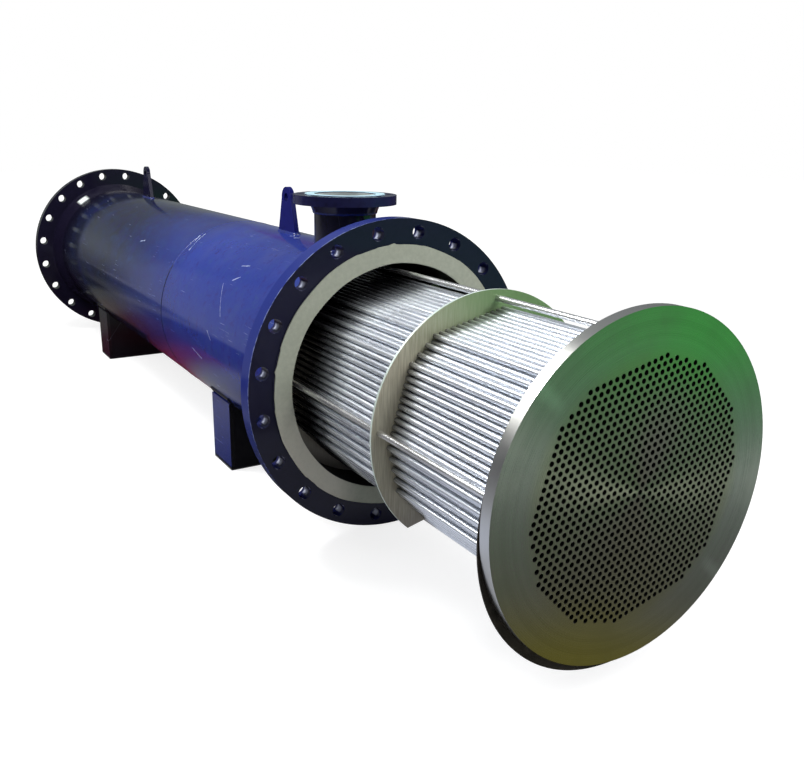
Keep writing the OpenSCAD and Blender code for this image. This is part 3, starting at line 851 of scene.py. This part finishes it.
def add_world():
    world = bpy.data.worlds.new("world")
    bpy.context.scene.world = world
    world.use_nodes = True
    tree = world.node_tree
    tree.nodes.clear()
    out = tree.nodes.new("ShaderNodeOutputWorld")
    plain = tree.nodes.new("ShaderNodeBackground")
    plain.inputs[0].default_value = (1, 1, 1, 1)
    plain.inputs[1].default_value = WORLD_LIGHT
    white = tree.nodes.new("ShaderNodeBackground")
    white.inputs[0].default_value = (1, 1, 1, 1)
    path = tree.nodes.new("ShaderNodeLightPath")
    seen = path.outputs["Is Camera Ray"]
    for kind in ("Is Glossy Ray", "Is Transmission Ray"):
        total = tree.nodes.new("ShaderNodeMath")
        total.use_clamp = True
        tree.links.new(seen, total.inputs[0])
        tree.links.new(path.outputs[kind], total.inputs[1])
        seen = total.outputs[0]
    mix = tree.nodes.new("ShaderNodeMixShader")
    tree.links.new(seen, mix.inputs[0])
    tree.links.new(plain.outputs[0], mix.inputs[1])
    tree.links.new(white.outputs[0], mix.inputs[2])
    tree.links.new(mix.outputs[0], out.inputs[0])


def lamp(name, place, aim, size, power):
    data = bpy.data.lights.new(name, "AREA")
    data.shape = "RECTANGLE"
    data.size, data.size_y = size
    data.energy = power
    light = bpy.data.objects.new(name, data)
    light.location = place
    light.rotation_euler = (Vector(aim) - Vector(place)).to_track_quat("-Z", "Y").to_euler()
    bpy.context.scene.collection.objects.link(light)


def add_flags():
    """Dark and tinted cards, as a workshop's floor and walls would show in the metal."""
    low, high = ROOM_LOW, ROOM_HIGH
    front_x, under_y, beside_y, near_y, bright_y = 1.50, -0.62, -1.40, -0.5, -1.8
    red_x, red_y, red_z = -5.9, (1.85, 3.2), (2.2, 2.75)
    shop_floor = emitter("flag_floor_glow", [
        (1.10, (0.15, 0.135, 0.03)), (1.45, (0.115, 0.12, 0.11)),
        (2.70, (0.18, 0.19, 0.21)), (3.75, (0.075, 0.43, 0.09)),
    ], ACROSS)
    card("flag_floor", level(front_x, near_y, high, high), shop_floor)
    front = emitter("flag_front_glow", [
        (0.0, (0.10, 0.12, 0.11)), (2.5, (0.08, 0.10, 0.09)),
    ], UP)
    card("flag_front", upright((high, low), (high, high)), front)
    rear = emitter("flag_rear_glow", [
        (0.0, (0.10, 0.10, 0.10)), (0.9, (0.21, 0.23, 0.22)), (1.5, (0.16, 0.175, 0.17)),
        (1.8, (0.11, 0.115, 0.12)), (2.7, (0.13, 0.14, 0.15)), (4.6, (0.20, 0.21, 0.22)),
    ], UP)
    card("flag_rear", upright((low, bright_y), (low, high)), rear)
    bright = emitter("flag_bright_glow", [
        (0.0, (0.27, 0.27, 0.28)), (2.6, (0.20, 0.21, 0.22)),
    ], UP)
    card("flag_bright", upright((low, low), (low, bright_y)), bright)
    card("flag_far", level(low, low, front_x, beside_y), bright)
    side = emitter("flag_side_glow", [
        (0.0, (0.04, 0.04, 0.045)), (3.5, (0.16, 0.17, 0.18)),
    ], UP)
    card("flag_left", upright((low, low), (high, low)), side)
    ceiling = emitter("flag_ceiling_glow", [
        (-3.0, (0.34, 0.36, 0.38)), (3.0, (0.20, 0.21, 0.22)),
    ], ALONG)
    card("flag_ceiling", level(low, low, high, high, ROOM_HEIGHT), ceiling)
    card("flag_right", upright((low, high), (high, high)), side)
    under = emitter("flag_under_glow", [
        (-3.0, (0.01, 0.01, 0.01)), (-2.6, (0.10, 0.10, 0.09)), (-2.2, (0.11, 0.09, 0.08)),
        (-1.8, (0.07, 0.02, 0.02)), (-1.4, (0.05, 0.005, 0.01)), (-1.0, (0.18, 0.02, 0.04)),
        (-0.6, (0.26, 0.26, 0.26)), (0.1, (0.05, 0.05, 0.05)), (0.62, (0.05, 0.05, 0.05)),
        (0.85, (0.55, 0.57, 0.64)),
    ], ALONG)
    card("flag_under", level(low, under_y, front_x, high), under)
    beside = emitter("flag_beside_glow", [
        (-4.0, (0.03, 0.03, 0.03)), (-3.1, (0.08, 0.08, 0.07)), (-2.6, (0.17, 0.16, 0.14)),
        (-2.1, (0.03, 0.015, 0.02)), (-1.1, (0.05, 0.03, 0.03)), (-0.4, (0.20, 0.20, 0.21)),
        (0.3, (0.50, 0.50, 0.55)), (0.75, (0.72, 0.77, 0.95)),
    ], ALONG)
    card("flag_beside", level(low, beside_y, front_x, under_y), beside)
    red = emitter("flag_red_glow", [
        (2.2, (0.12, 0.01, 0.03)), (2.8, (0.10, 0.01, 0.03)),
    ], UP)
    card("flag_red", upright((red_x, red_y[0]), (red_x, red_y[1]), *red_z), red)
    card("flag_near", level(front_x, low, high, near_y), side)


add_floor()
add_world()
lamp("key", (-0.9, -1.3, 2.9), (0.5, 0, 0.5), (0.8, 0.8), 75)
lamp("side", (-1.0, -2.6, 2.9), (-0.2, 0, 0.5), (2.0, 1.8), 46)
lamp("fill", (3.2, 1.6, 3.2), (0.9, 0, 0.4), (2.0, 2.0), 105)
add_flags()
bpy.context.scene.view_settings.view_transform = "Standard"
